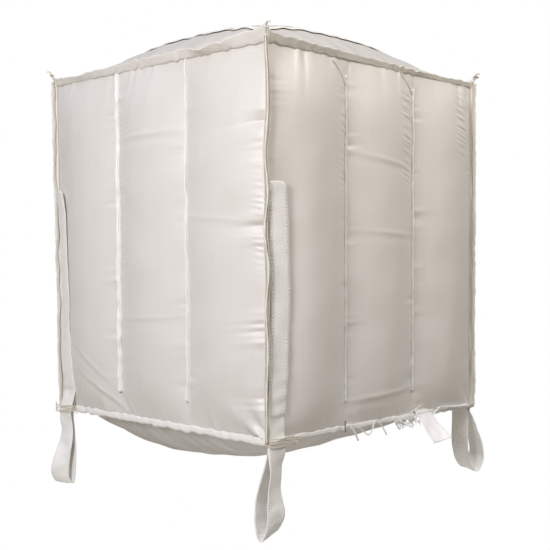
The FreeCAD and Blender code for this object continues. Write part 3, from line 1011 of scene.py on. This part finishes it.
def discharge_cover(dome):
    """The square flap over the discharge spout, hemmed, lying on the dome."""
    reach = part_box("discharge_cover")[1][0]
    x, y, z = cover_grid(reach, dome, 0.0042)
    edge = reach - np.maximum(np.abs(x), np.abs(y))
    wave = smooth_field(950, 0.05, 0.25)
    z = z + 0.0015 * wave(x, y) + 0.0016 * np.clip(wave(x * 1.3, y * 1.3), 0, 1) * bump(edge, 0.03)
    grid = stacked(x, y, z)
    # the cover shares the dome's painted shade
    piece = cloth_piece("discharge_cover_cloth", grid, stacked(x, y), CROWN_PAINTED_SHADE)
    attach(piece, "cover")
    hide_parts("discharge_cover")
    rim = np.concatenate([grid[0], grid[1:, -1], grid[-1, -2::-1], grid[-2::-1, 0]])
    inward = rim * np.array([-1, -1, 0])
    inward /= np.linalg.norm(inward, axis=1, keepdims=True)
    across = np.array([-0.001, 0.0, 0.006, 0.012, 0.022, 0.026])
    lift = np.array([-0.0012, 0.0014, 0.0020, 0.0021, 0.0018, 0.0004])
    hem = rim[:, None, :] + inward[:, None, :] * across[None, :, None]
    hem[..., 2] = np.array([[height_on(dome, *point[:2]) for point in row] for row in hem]) + 0.0052
    hem[..., 2] += lift
    # along the sewn edge the outer row is lifted level with the next, clear of the dome as the cover opens
    hinge = hem[:, 1, 1] > reach - 0.003
    hem[hinge, 0] = hem[hinge, 1] + np.array([0, -0.0005, 0.0002])
    uv = stacked(np.linspace(0, 8 * reach, len(rim))[:, None], across)
    band = cloth_piece("discharge_cover_hem", hem, uv, HEM, 0.0009)
    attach(band, "cover")


# Top panel and the fill spout

SAG = 0.140
SAG_TILT = 0.22


def sag_height(x, y):
    tilt = 1 - SAG_TILT * (x + y) / (0.8 * HALF)
    dimple = 0.045 * np.exp(-(x * x + y * y) / 0.150 ** 2)
    return LOWER - SAG * tilt * crown(x, y) + dimple


def top_panel():
    line = np.linspace(-HALF, HALF, 121)
    x, y = np.meshgrid(line, line)
    shift = boundary_shift(x, y, LOWER)
    grid = stacked(x * 0.994 + shift[..., 0], y * 0.994 + shift[..., 1], sag_height(x, y))
    radius = np.hypot(x, y)
    angle = np.arctan2(y, x)
    pleat = np.sin(28 * angle) + 0.6 * np.sin(17 * angle + 1)
    off = 0.55 * end_puckers(x, y, 960)
    off += 0.0035 * pleat * np.exp(-np.abs(radius - SPOUT_RADIUS) / 0.035)
    off += 0.003 * smooth_field(970, 0.08, 0.35)(x, y) * crown(x, y)
    grid = grid + grid_normals(grid) * off[..., None]
    centre = line[:-1] + (line[1] - line[0]) / 2
    middle_x, middle_y = np.meshgrid(centre, centre)
    keep = np.hypot(middle_x, middle_y) > SPOUT_RADIUS - 0.002
    piece = cloth_piece("top_panel_cloth", grid, stacked(x, y) * TOP_SLACK, END, keep=keep)
    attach(piece, "bag")
    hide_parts("top_panel")


def fill_spout():
    """The spout turned in to a collar, with a rolled rim."""
    low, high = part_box("fill_spout")
    radius, length = SPOUT_RADIUS, high[2] - low[2]
    radii = (radius + 0.010, radius + 0.004, radius, radius, radius, radius)
    heights = (0.010, 0.003, 0.004, 0.35 * length, 0.7 * length, length)
    gathered_spout("fill_spout_collar", "fill_spout", radii, heights, 44, 0.003)
    turn = np.linspace(0, 2 * math.pi, 200)
    circle = radius + 0.006 + 0.0012 * np.sin(22 * turn)
    rim = stacked(circle * np.cos(turn), circle * np.sin(turn), 0.004)
    band = joined("fill_spout_rim", [tube(rim, 0.0045, sides=8)], HEM)
    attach(band, "bag")


# Webbing: one strap runs down the panel, over the hem, round the loop and up inside the panel

# How high up its panel each strap is sewn, and how far its top end stands off there
STRAP_TOP = {"front_right": 0.716, "back_right": 0.712, "back_left": 0.720, "front_left": 0.732}
STRAP_LIFT = {"front_right": 0.003, "back_right": 0.005, "back_left": 0.004, "front_left": 0.010}
INNER_TOP = 0.300
STRAP_PLACE = 0.0415

LOOPS = {
    # corner: (out from the seam plane, along from the corner, height from the seam, turn, tilt in degrees)
    "front_right": (
        (0.013, 0.0290, -0.008, 0, 0), (0.015, 0.0260, -0.035, 0, 0), (0.013, 0.0220, -0.080, 15, 0),
        (0.013, 0.0180, -0.130, 15, 0), (0.018, 0.0160, -0.170, 6, 4), (0.022, 0.0170, -0.205, -5, 10),
        (0.016, 0.0140, -0.240, -4, 18), (0.000, 0.0100, -0.266, 0, 20), (-0.014, 0.0050, -0.250, 2, 16),
        (-0.022, 0.0080, -0.214, 0, 12), (-0.026, 0.0160, -0.170, 0, 6), (-0.019, 0.0250, -0.120, 0, 0),
        (-0.008, 0.0340, -0.070, 0, 0), (0.000, 0.0370, -0.030, 0, 0), (-0.003, 0.0400, 0.005, 0, 0),
    ),
    "back_right": (
        (0.013, 0.0340, -0.008, 0, 0), (0.018, 0.0310, -0.035, 0, 0), (0.042, 0.0300, -0.075, -4, 0),
        (0.066, 0.0260, -0.115, -8, 2), (0.076, 0.0160, -0.155, -10, 4), (0.070, 0.0120, -0.200, -8, 7),
        (0.044, 0.0180, -0.234, -4, 9), (0.020, 0.0270, -0.218, -2, 8), (0.004, 0.0340, -0.165, 0, 4),
        (0.000, 0.0340, -0.120, 2, 0), (0.002, 0.0340, -0.070, 2, 0), (0.002, 0.0350, -0.030, 0, 0),
        (-0.003, 0.0390, 0.005, 0, 0),
    ),
    "back_left": (
        (0.013, 0.0380, -0.008, 0, 0), (0.016, 0.0380, -0.035, 0, 0), (0.026, 0.0400, -0.080, 6, 0),
        (0.038, 0.0420, -0.130, 10, 3), (0.042, 0.0400, -0.175, 8, 6), (0.034, 0.0390, -0.215, 4, 9),
        (0.016, 0.0380, -0.236, 0, 12), (0.000, 0.0390, -0.220, 0, 9), (-0.007, 0.0400, -0.175, 0, 5),
        (-0.005, 0.0420, -0.120, 0, 0), (0.000, 0.0400, -0.070, 0, 0), (0.002, 0.0390, -0.030, 0, 0),
        (-0.003, 0.0400, 0.005, 0, 0),
    ),
    "front_left": (
        (0.0115, 0.0510, -0.008, 0, 0), (0.012, 0.0535, -0.040, 0, 0), (0.011, 0.0570, -0.085, 0, 0),
        (0.018, 0.0580, -0.130, 6, 0), (0.028, 0.0560, -0.165, 20, 0), (0.035, 0.0520, -0.205, 28, 0),
        (0.031, 0.0500, -0.238, 26, 0), (0.016, 0.0520, -0.258, 18, 0), (0.004, 0.0560, -0.238, 8, 0),
        (0.000, 0.0580, -0.180, 0, 0), (-0.004, 0.0560, -0.130, -2, 0), (0.000, 0.0520, -0.070, 0, 0),
        (0.002, 0.0500, -0.030, 0, 0), (-0.003, 0.0480, 0.005, 0, 0),
    ),
}


STRAP_BEND = {
    # corner: how far the near edge stands off at the top and lower down, the far edge lower down, how far
    # the top leans to the corner, and how far the near edge comes level with the far one at the bottom
    "front_right": (0.000, 0.001, 0.006, 0.0170, 0.0), "back_right": (0.004, 0.001, 0.002, 0.0040, 0.3),
    "back_left": (0.006, 0.002, 0.001, -0.0020, 0.3), "front_left": (0.003, 0.000, 0.003, 0.0100, 0.75),
}


def strap_bed(quarter, surface, start, end, stand_off):
    """The two edges of a strap sewn flat on a panel, from one height to another."""
    count = max(int(abs(end - start) / 0.012), 3)
    heights = np.linspace(start, end, count)
    seam = to_side(corner_line(quarter, heights), quarter)[:, 1]
    across = np.linspace(-1, 1, 9)
    reach = seam[:, None] + STRAP_PLACE + across[None, :] * WEBBING / 2
    outs = np.array([[surface.out(along, level) for along in row] for row, level in zip(reach, heights)])
    for _ in range(14):
        outs[1:-1] = (outs[:-2] + 2 * outs[1:-1] + outs[2:]) / 4
    edges = []
    for row, places, level in zip(outs, reach, heights):
        slope, middle = np.polyfit(across, row, 1)
        middle += 0.35 * max((row - middle - slope * across).max(), 0)
        edges.append([(middle - slope + stand_off, places[0], LOWER + level),
                      (middle + slope + stand_off, places[-1], LOWER + level)])
    return np.array(edges)


def loop_edges(stations):
    edges = []
    for out, along, height, turn, tilt in stations:
        turn, tilt = math.radians(turn), math.radians(tilt)
        way = np.array([-math.sin(turn), math.cos(turn) * math.cos(tilt), math.sin(tilt)])
        middle = np.array([HALF + out, -HALF + along, LOWER + height])
        edges.append([middle - way * WEBBING / 2, middle + way * WEBBING / 2])
    return np.array(edges)


def even_steps(rows, step):
    """A band's two edges re-read at even distances, measured along its middle line."""
    dense = sample(rows, 40 * len(rows))
    reach = run_length((dense[:, :3] + dense[:, 3:]) / 2)
    places = np.linspace(0, reach[-1], int(reach[-1] / step))
    return places, read_line(places, reach, dense)


def strap(quarter, surface):
    corner = CORNERS[quarter]
    top = STRAP_TOP[corner]
    outer = strap_bed(quarter, surface, top, 0.055, 0.0022)
    rise = np.linspace(0, 1, len(outer))
    outer[:, :, 0] += (STRAP_LIFT[corner] * np.exp(-rise / 0.045) + 0.0015 * np.exp(-rise / 0.15))[:, None]
    near_top, near_low, far_low, shift, level = STRAP_BEND[corner]
    belly = np.sin(np.pi * rise) ** 0.5
    outer[:, 0, 0] += near_top * np.exp(-rise / 0.18) + near_low * belly
    outer[:, 1, 0] += far_low * belly + 0.004 * np.exp(-rise / 0.3)
    outer[:, 0, 0] += level * (outer[:, 1, 0] - outer[:, 0, 0]) * np.clip((rise - 0.40) / 0.6, 0, 1) ** 1.5
    outer[:, :, 1] -= (shift * np.exp(-rise / 0.22))[:, None]
    outer[:, :, 1] += ((LOOPS[corner][0][1] - STRAP_PLACE) * rise ** 3)[:, None]
    inner = strap_bed(quarter, surface, 0.030, INNER_TOP, -0.0030)
    edges = np.concatenate([outer, loop_edges(LOOPS[corner]), inner])
    reach, rows = even_steps(edges.reshape(-1, 6), 0.0035)
    near, far = rows[:, :3], rows[:, 3:]
    middle, half = (near + far) / 2, (far - near) / 2
    half *= (WEBBING / 2) / np.linalg.norm(half, axis=1, keepdims=True)
    round_off = 0.014
    from_end = np.clip(np.minimum(reach, reach[-1] - reach), 0, round_off)
    narrow = (WEBBING / 2 - round_off + np.sqrt(round_off ** 2 - (round_off - from_end) ** 2)) / (WEBBING / 2)
    across = np.linspace(-1, 1, 15)
    grid = middle[:, None] + (half * narrow[:, None])[:, None] * across[None, :, None]
    normal = grid_normals(grid)
    wavy = smooth_field(1000 + quarter, 0.03, 0.12)
    cup = smooth_waves(1010 + quarter, 0.08, 0.3)
    free = bump(reach - reach[len(reach) // 2], 0.33)
    off = 0.0009 * wavy(reach[:, None], across[None, :] * 0.03) * (0.4 + free[:, None])
    off += 0.0026 * (cup(reach) * free)[:, None] * (across[None, :] ** 2 - 0.4)
    laid = 1 / (1 + np.exp((reach - (top - 0.06)) / 0.008))
    off += 0.0035 * laid[:, None] * (across[None, :] ** 2 - 0.3)
    grid = grid + normal * off[..., None]
    uv = stacked(across[None, :] * WEBBING / 2, reach[:, None])
    piece = cloth_piece(f"webbing_strap_{corner}", carry(grid, quarter), uv, STRAP, 0.0026)
    pivot = carry(np.array([HALF, -HALF + STRAP_PLACE, 0.0]), quarter)
    free = (*pivot[:2], PIVOT_HEIGHT - 0.018)
    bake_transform(piece)
    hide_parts(f"outer_leg_{corner}", f"lifting_loop_{corner}", f"inner_leg_{corner}")
    parts = []
    sewn = (reach > 0.018) & (reach < top - 0.06)
    for place in (1, 2, 12, 13):
        parts += stitches(grid[sewn, place] + normal[sewn, place] * -0.0018, -normal[sewn, place],
                          length=0.007, gap=0.0035, radius=0.0007)
    sew(f"strap_stitching_{corner}", parts, quarter)


# Label tag and loose ends of thread

LABEL_PLACE = 0.212
LABEL_PIVOT = (HALF + 0.012, LOWER + 0.007)
LABEL_SIZE = (0.080, 0.115)
LABEL_SWING = math.radians(40)
ALONG = np.array([0, 1, 0])


def label():
    """The tag that hangs from the +X hem, swung out a little, with a bent lower corner."""
    width, length = LABEL_SIZE
    u, v = np.meshgrid(np.linspace(-width / 2, width / 2, 25), np.linspace(0, length, 37))
    down = np.array([math.sin(LABEL_SWING), 0, -math.cos(LABEL_SWING)])
    face = np.array([math.cos(LABEL_SWING), 0, math.sin(LABEL_SWING)])
    pivot = np.array([LABEL_PIVOT[0], LABEL_PLACE, LABEL_PIVOT[1]])
    creases = smooth_field(1100, 0.04, 0.12)
    bent_corner = 0.014 * bump(u - width / 2, 0.03) * bump(v - length, 0.05)
    curl = -0.10 * v ** 2 + 0.3 * u * u - 0.0005 + 0.0012 * creases(u, v) + bent_corner
    grid = pivot + down * (0.002 + v)[..., None] + ALONG * u[..., None] + face * curl[..., None]
    piece = cloth_piece("label_tag_paper", grid, stacked(u, v), PAPER, 0.0007)
    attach(piece, "label")
    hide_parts("label_tag")
    tape_u, share = np.meshgrid(np.linspace(-0.036, 0.036, 21), np.linspace(0, 1, 9))
    head = np.array([HALF + 0.001, 0, LOWER + 0.010])
    foot = grid[2, 12] * np.array([1, 0, 1]) + face * 0.0010
    swell = np.array([0.5, 0, 1]) * (0.002 * np.sin(np.pi * share))[..., None]
    run = head + (foot - head) * share[..., None] + swell
    run = run + ALONG * (LABEL_PLACE + tape_u)[..., None]
    tape = cloth_piece("label_tape", run, stacked(tape_u, share * 0.02), HEM, 0.0009)
    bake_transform(tape)


def loose_thread(points, radius=0.0014, count=60):
    return tube(sample(points, count), radius, sides=6)


def knot(centre, radius, thickness, seed):
    """A small overhand tangle of yarn."""
    turn = np.linspace(0, 2 * math.pi, 90)
    path = stacked(np.sin(turn) + 2 * np.sin(2 * turn), np.cos(turn) - 2 * np.cos(2 * turn), -np.sin(3 * turn))
    spin = np.linalg.qr(np.random.default_rng(seed).normal(size=(3, 3)))[0]
    return tube(np.asarray(centre) + path @ spin * (radius / 3), thickness, sides=6, twist=500, strands=2)


def corner_ends(quarter):
    """The corner yarns' knots, above and below, and the ends wrapped over the strap."""
    corner = CORNERS[quarter]
    rng = np.random.default_rng(1200 + quarter)
    foot = to_side(corner_line(quarter, np.array([0.0])), quarter)[0]
    head = to_side(corner_line(quarter, np.array([RISE])), quarter)[0]
    parts = [
        knot(head + DIAGONAL * 0.020 + (0, 0, 0.034), 0.0085, 0.0030, 1210 + quarter),
        knot(foot + DIAGONAL * 0.010 + (0, 0, -0.004), 0.0095, 0.0030, 1220 + quarter),
        loose_thread([head + DIAGONAL * 0.020 + (0, 0, 0.036), head + DIAGONAL * 0.024 + (0.004, 0, 0.046),
                      head + DIAGONAL * 0.030 + (0.010, 0.004, 0.044)], 0.0020),
    ]
    for index in range(6):
        slack = [[0.004], rng.uniform(-0.003, 0.003, 4), rng.uniform(-0.014, 0.004, 1)]
        level = -0.017 + 0.0045 * index + np.concatenate(slack)
        along = np.array([-0.006, 0.006, 0.040, 0.078, 0.096, 0.110 + rng.uniform(-0.02, 0.045)])
        out = np.array([0.010, 0.0185, 0.0195, 0.0165, 0.0130, 0.0120 + rng.uniform(0, 0.008)])
        path = stacked(HALF + out + rng.uniform(0, 0.002), -HALF + along, LOWER + level)
        parts.append(tube(sample(path, 60), rng.uniform(0.0012, 0.0022), sides=6, twist=520, strands=2))
    piece = turned(f"corner_yarn_ends_{corner}", parts, CORD, quarter)
    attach(piece, "bag")


def hem_threads(surface):
    """Sewing threads, a frayed strip and cords hanging at the +X hem, and thread tails over its seams."""
    def under(*stations):
        return [(HALF + out, along, LOWER + height) for out, along, height in stations]

    def over(*stations):
        return [(surface.out(along, height) + 0.0035, along, LOWER + height) for along, height in stations]

    parts = [
        tube(sample(under((0.010, -0.160, 0.004), (0.020, -0.148, -0.012), (0.020, -0.127, -0.044)), 50),
             0.0032, sides=6, twist=700, strands=3),
        loose_thread(under((0.010, -0.140, 0.004), (0.018, -0.112, -0.012), (0.020, -0.080, -0.033),
                           (0.018, -0.058, -0.024), (0.018, -0.044, 0.002), (0.018, -0.030, 0.000),
                           (0.020, -0.008, -0.018), (0.018, 0.015, -0.044)), 0.0020),
        loose_thread(under((0.012, 0.050, -0.004), (0.020, 0.085, -0.014), (0.022, 0.124, -0.030),
                           (0.018, 0.151, -0.038)), 0.0016),
        loose_thread(under((0.010, 0.140, 0.002), (0.016, 0.156, 0.012), (0.022, 0.190, 0.030)), 0.0018),
        loose_thread(under((0.014, 0.262, -0.012), (0.016, 0.290, 0.002), (0.014, 0.313, 0.009),
                           (0.014, 0.400, 0.002), (0.016, 0.484, -0.002)), 0.0034),
        loose_thread(over((-0.228, 1.086), (-0.206, 1.068), (-0.184, 1.045), (-0.168, 1.020)), 0.0022),
        loose_thread(over((0.098, 1.095), (0.120, 1.078), (0.146, 1.052), (0.164, 1.030)), 0.0022),
    ]
    rng = np.random.default_rng(1300)
    for _ in range(26):
        start = rng.uniform(0.055, 0.175)
        swing = np.cumsum(rng.normal(0, 0.007, (4, 2)), axis=0)
        fall = -0.004 - np.sort(rng.uniform(0, 0.032, 4))
        stations = [(0.011, start, 0.004)]
        stations += [(0.016 + abs(x) * 0.5, start + y, z) for (x, y), z in zip(swing, fall)]
        parts.append(loose_thread(under(*stations), rng.uniform(0.0008, 0.0014), 24))
    thread = joined("hem_threads_right", parts, THREAD)
    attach(thread, "bag")
    frayed_strip()
    line = under((0.0155, -0.183, 0.022), (0.0170, -0.183, -0.014))
    chain = stitches(line, (1, 0, 0), length=0.0045, gap=0.0022, radius=0.0018)
    dark = joined("hem_chain_stitch_right", chain, DARK_THREAD)
    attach(dark, "bag")


def frayed_strip():
    """A short crumpled strip of fabric under the +X hem."""
    run, drop = np.meshgrid(np.linspace(0.060, 0.168, 50), np.linspace(0, 0.024, 12))
    crumple = smooth_field(1310, 0.012, 0.05)
    sway = smooth_waves(1311, 0.03, 0.08)
    share = drop / 0.024
    out = HALF + 0.013 + 0.0060 * crumple(run, drop) * share + 0.004 * share
    height = LOWER + 0.002 - drop * (0.8 + 0.35 * sway(run)) + 0.003 * crumple(run + 1, drop + 1) * share
    along = run + 0.003 * crumple(run + 2, drop) * share
    piece = cloth_piece("frayed_strip_right", stacked(out, along, height), stacked(run, drop), HEM, 0.0007)
    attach(piece, "bag")


# The bag

panels = [make_panel(quarter) for quarter in range(4)]
surfaces = [Surface(fine) for fine in panels]

for quarter, (fine, surface) in enumerate(zip(panels, surfaces)):
    baffle_seam(quarter, 0, surface)
    baffle_seam(quarter, 1, surface)
    corner_seam(quarter)
    base_hem(quarter, fine)
    top_hem(quarter, fine)
    strap(quarter, surface)
    corner_ends(quarter)

dome = base_panel()
discharge_cover(dome)
discharge_spout()
top_panel()
fill_spout()
label()
hem_threads(surfaces[0])

for corner in CORNERS:
    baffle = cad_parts[f"baffle_{corner}"]
    baffle.data.materials.clear()
    baffle.data.materials.append(INNER)


# Floor, light and camera

def plain_material(name, colour, roughness):
    return Material(name).finish((*colour, 1), roughness)


FLOOR_RADIUS = 1.7
FLOOR_LEVEL = -1.60


def floor():
    turn = np.linspace(0, 2 * math.pi, 97)[:-1]
    ring = stacked(FLOOR_RADIUS * np.cos(turn), FLOOR_RADIUS * np.sin(turn), FLOOR_LEVEL)
    piece = new_piece("floor", ring, [tuple(range(96))])
    piece.data.materials.append(plain_material("floor_paper", (0.87, 0.83, 0.765), 0.8))


def area_light(name, place, target, width, power, colour=(1, 1, 1)):
    lamp = bpy.data.lights.new(name, "AREA")
    lamp.shape = "DISK"
    lamp.size = width
    lamp.energy = power
    lamp.color = colour
    holder = bpy.data.objects.new(name, lamp)
    holder.location = place
    holder.rotation_mode = "QUATERNION"
    holder.rotation_quaternion = (Vector(target) - Vector(place)).to_track_quat("-Z", "Y")
    bpy.context.scene.collection.objects.link(holder)


SKY_LOW = (0.129, 0.110, 0.070)
SKY_HIGH = (0.78, 0.84, 1.0)
SKY_STRENGTH = 1.22


def surroundings():
    """A sky that lights the bag more from above than from level, and a plain white behind it."""
    world = bpy.data.worlds.new("studio")
    world.use_nodes = True
    bpy.context.scene.world = world
    world.node_tree.nodes.clear()
    nodes = Nodes(world.node_tree)
    way = nodes.add("ShaderNodeTexCoord").outputs["Generated"]
    height = nodes.add("ShaderNodeSeparateXYZ", {"Vector": way}).outputs["Z"]
    level = nodes.add("ShaderNodeMapRange", {"Value": height}).outputs["Result"]
    sky = nodes.ramp(level, SKY_LOW, SKY_HIGH)
    lit = nodes.add("ShaderNodeBackground", {"Color": sky, "Strength": SKY_STRENGTH})
    seen = nodes.add("ShaderNodeBackground", {"Color": (1, 1, 1, 1), "Strength": 1.0})
    path = nodes.add("ShaderNodeLightPath")
    blend = nodes.add("ShaderNodeMixShader")
    for value, socket in zip((path.outputs["Is Camera Ray"], lit.outputs[0], seen.outputs[0]), blend.inputs):
        nodes.plug(value, socket)
    nodes.add("ShaderNodeOutputWorld", {"Surface": blend.outputs[0]})
    bpy.context.scene.view_settings.view_transform = "Standard"


CAMERA_PLACE = (2.413, -2.443, 0.589)
CAMERA_HEADING = math.radians(44.06)
CAMERA_DIP = math.radians(0.774)


def camera():
    lens = bpy.data.cameras.new("camera")
    lens.lens = 64.93
    lens.sensor_width = 36
    holder = bpy.data.objects.new("camera", lens)
    holder.location = CAMERA_PLACE
    holder.rotation_euler = (math.pi / 2 - CAMERA_DIP, 0, CAMERA_HEADING)
    bpy.context.scene.collection.objects.link(holder)
    bpy.context.scene.camera = holder


floor()
area_light("key", (0.9, -3.2, 1.5), (0, 0, 0.6), 1.1, 66, (0.99, 0.975, 1.0))
area_light("side", (2.5, 0.5, 2.6), (0.5, 0.0, 0.9), 0.9, 38, (1.0, 0.93, 0.81))
area_light("back", (-2.8, 2.6, 1.7), (0, 0, 0.6), 1.4, 26, (1.0, 0.98, 0.95))
surroundings()
camera()

bpy.context.view_layer.update()
